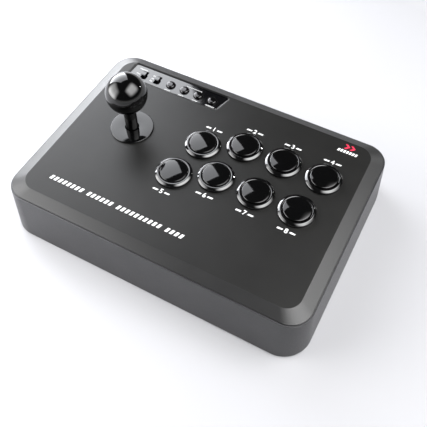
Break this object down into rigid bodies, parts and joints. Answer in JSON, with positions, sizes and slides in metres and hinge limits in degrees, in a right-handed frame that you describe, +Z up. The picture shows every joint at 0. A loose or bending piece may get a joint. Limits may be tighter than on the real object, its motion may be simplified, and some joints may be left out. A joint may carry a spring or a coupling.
{
  "type": "arcade joystick panel",
  "caption": "Compact arcade joystick panel: ball-top lever, round push buttons and a strip of small controls on a low case with flared walls.",
  "frame": {"origin": "centre of the case at the level of the surface that its feet stand on", "axes": "+X to the player's right along the long side, +Y away from the player, +Z up out of the deck"},
  "size_m": [0.2394, 0.172, 0.0952],
  "materials": {
    "case_plastic": "matte moulded black, fine grain",
    "gloss_plastic": "polished black",
    "panel_plastic": "glossy black panel",
    "inner_plastic": "satin black",
    "white_plastic": "natural white, satin",
    "gate_plastic": "red, satin",
    "rubber": "matte black rubber",
    "steel": "zinc-plated",
    "circuit_board": "green solder mask"
  },
  "bodies": {
    "root": {"top_shell": "case_plastic", "bottom_shell": "case_plastic", "main_board": "circuit_board", "strip_board": "circuit_board", "lever_board": "circuit_board", "button_board": "circuit_board", "foot_front_left": "rubber", "foot_front_right": "rubber", "foot_back_right": "rubber", "foot_back_left": "rubber", "cable_grommet": "rubber", "case_screw_front_left": "steel", "case_screw_front_right": "steel", "case_screw_back_right": "steel", "case_screw_back_left": "steel", "plate_screw_front_left": "steel", "plate_screw_front_right": "steel", "plate_screw_back_right": "steel", "plate_screw_back_left": "steel", "lever_mounting_plate": "steel", "control_strip": "panel_plastic", "lever_housing": "inner_plastic", "lever_switch_right": "inner_plastic", "lever_switch_back": "inner_plastic", "lever_switch_left": "inner_plastic", "lever_switch_front": "inner_plastic", "button_rim_1": "gloss_plastic", "button_rim_2": "gloss_plastic", "button_rim_3": "gloss_plastic", "button_rim_4": "gloss_plastic", "button_rim_5": "gloss_plastic", "button_rim_6": "gloss_plastic", "button_rim_7": "gloss_plastic", "button_rim_8": "gloss_plastic", "restrictor_gate": "gate_plastic"},
    "pivot_bush": {"pivot_bush": "white_plastic"},
    "pivot_ball": {"pivot_ball": "inner_plastic"},
    "lever": {"lever_shaft": "steel", "shaft_sleeve": "gloss_plastic", "ball_top": "gloss_plastic", "actuator": "white_plastic", "return_spring": "steel", "retaining_clip": "steel"},
    "under_deck_washer": {"under_deck_washer": "inner_plastic"},
    "dust_washer": {"dust_washer": "gloss_plastic"},
    "button_1": {"button_cap_1": "gloss_plastic"},
    "button_2": {"button_cap_2": "gloss_plastic"},
    "button_3": {"button_cap_3": "gloss_plastic"},
    "button_4": {"button_cap_4": "gloss_plastic"},
    "button_5": {"button_cap_5": "gloss_plastic"},
    "button_6": {"button_cap_6": "gloss_plastic"},
    "button_7": {"button_cap_7": "gloss_plastic"},
    "button_8": {"button_cap_8": "gloss_plastic"},
    "function_button_1": {"function_button_1": "gloss_plastic"},
    "function_button_2": {"function_button_2": "gloss_plastic"},
    "function_button_3": {"function_button_3": "gloss_plastic"},
    "home_button": {"home_button": "gloss_plastic"},
    "slide_switch_left": {"slide_switch_left": "inner_plastic"},
    "slide_switch_right": {"slide_switch_right": "inner_plastic"}
  },
  "joints": [
    {"name": "lever_forward_back", "type": "hinge", "parent": "root", "child": "pivot_bush", "pos_m": [-0.0638, 0.0096, 0.033], "axis": [1, 0, 0], "range_deg": [-9, 9], "stiffness_Nm_per_rad": 0.25},
    {"name": "lever_left_right", "type": "hinge", "parent": "pivot_bush", "child": "pivot_ball", "pos_m": [-0.0638, 0.0096, 0.033], "axis": [0, 1, 0], "range_deg": [-9, 9], "stiffness_Nm_per_rad": 0.25},
    {"name": "lever_spin", "type": "hinge", "parent": "pivot_ball", "child": "lever", "pos_m": [-0.0638, 0.0096, 0.033], "axis": [0, 0, 1], "continuous": true},
    {"name": "washer_left_right", "type": "slide", "parent": "root", "child": "under_deck_washer", "axis": [1, 0, 0], "range_m": [-0.0022, 0.0022]},
    {"name": "washer_forward_back", "type": "slide", "parent": "under_deck_washer", "child": "dust_washer", "axis": [0, 1, 0], "range_m": [-0.0022, 0.0022]},
    {"name": "button_1_press", "type": "slide", "parent": "root", "child": "button_1", "axis": [0, 0, -1], "range_m": [0, 0.0022], "stiffness_N_per_m": 300, "springref_m": -0.002},
    {"name": "button_2_press", "type": "slide", "parent": "root", "child": "button_2", "axis": [0, 0, -1], "range_m": [0, 0.0022], "stiffness_N_per_m": 300, "springref_m": -0.002},
    {"name": "button_3_press", "type": "slide", "parent": "root", "child": "button_3", "axis": [0, 0, -1], "range_m": [0, 0.0022], "stiffness_N_per_m": 300, "springref_m": -0.002},
    {"name": "button_4_press", "type": "slide", "parent": "root", "child": "button_4", "axis": [0, 0, -1], "range_m": [0, 0.0022], "stiffness_N_per_m": 300, "springref_m": -0.002},
    {"name": "button_5_press", "type": "slide", "parent": "root", "child": "button_5", "axis": [0, 0, -1], "range_m": [0, 0.0022], "stiffness_N_per_m": 300, "springref_m": -0.002},
    {"name": "button_6_press", "type": "slide", "parent": "root", "child": "button_6", "axis": [0, 0, -1], "range_m": [0, 0.0022], "stiffness_N_per_m": 300, "springref_m": -0.002},
    {"name": "button_7_press", "type": "slide", "parent": "root", "child": "button_7", "axis": [0, 0, -1], "range_m": [0, 0.0022], "stiffness_N_per_m": 300, "springref_m": -0.002},
    {"name": "button_8_press", "type": "slide", "parent": "root", "child": "button_8", "axis": [0, 0, -1], "range_m": [0, 0.0022], "stiffness_N_per_m": 300, "springref_m": -0.002},
    {"name": "function_button_1_press", "type": "slide", "parent": "root", "child": "function_button_1", "axis": [0, 0, -1], "range_m": [0, 0.0006], "stiffness_N_per_m": 500, "springref_m": -0.0015},
    {"name": "function_button_2_press", "type": "slide", "parent": "root", "child": "function_button_2", "axis": [0, 0, -1], "range_m": [0, 0.0006], "stiffness_N_per_m": 500, "springref_m": -0.0015},
    {"name": "function_button_3_press", "type": "slide", "parent": "root", "child": "function_button_3", "axis": [0, 0, -1], "range_m": [0, 0.0006], "stiffness_N_per_m": 500, "springref_m": -0.0015},
    {"name": "home_button_press", "type": "slide", "parent": "root", "child": "home_button", "axis": [0, 0, -1], "range_m": [0, 0.0006], "stiffness_N_per_m": 500, "springref_m": -0.0015},
    {"name": "slide_switch_left_slide", "type": "slide", "parent": "root", "child": "slide_switch_left", "axis": [0, 1, 0], "range_m": [-0.002, 0.002]},
    {"name": "slide_switch_right_slide", "type": "slide", "parent": "root", "child": "slide_switch_right", "axis": [0, 1, 0], "range_m": [-0.002, 0.002]}
  ],
  "couplings": [
    {"joint": "washer_left_right", "follows": "lever_left_right", "m_per_rad": 0.0128},
    {"joint": "washer_forward_back", "follows": "lever_forward_back", "m_per_rad": -0.0128}
  ]
}
